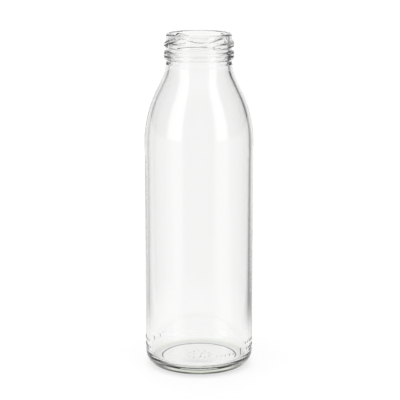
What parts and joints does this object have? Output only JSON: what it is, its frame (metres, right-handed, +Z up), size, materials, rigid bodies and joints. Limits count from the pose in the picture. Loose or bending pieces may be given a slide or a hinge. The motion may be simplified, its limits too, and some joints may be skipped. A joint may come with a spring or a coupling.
{
  "type": "glass milk bottle",
  "caption": "Clear moulded glass milk bottle: straight round body, long sloping shoulder, beaded collar and wide lugged twist-off mouth.",
  "frame": {"origin": "centre of the ring that the bottle stands on, at floor level", "axes": "+Z up along the bottle's axis to its mouth; +X to the bottle's right and +Y to its back as shown in the picture"},
  "size_m": [0.067, 0.067, 0.208],
  "materials": {
    "clear_glass": "clear flint container glass, fire-polished"
  },
  "bodies": {
    "root": {"glass_bottle": "clear_glass"}
  },
  "joints": []
}
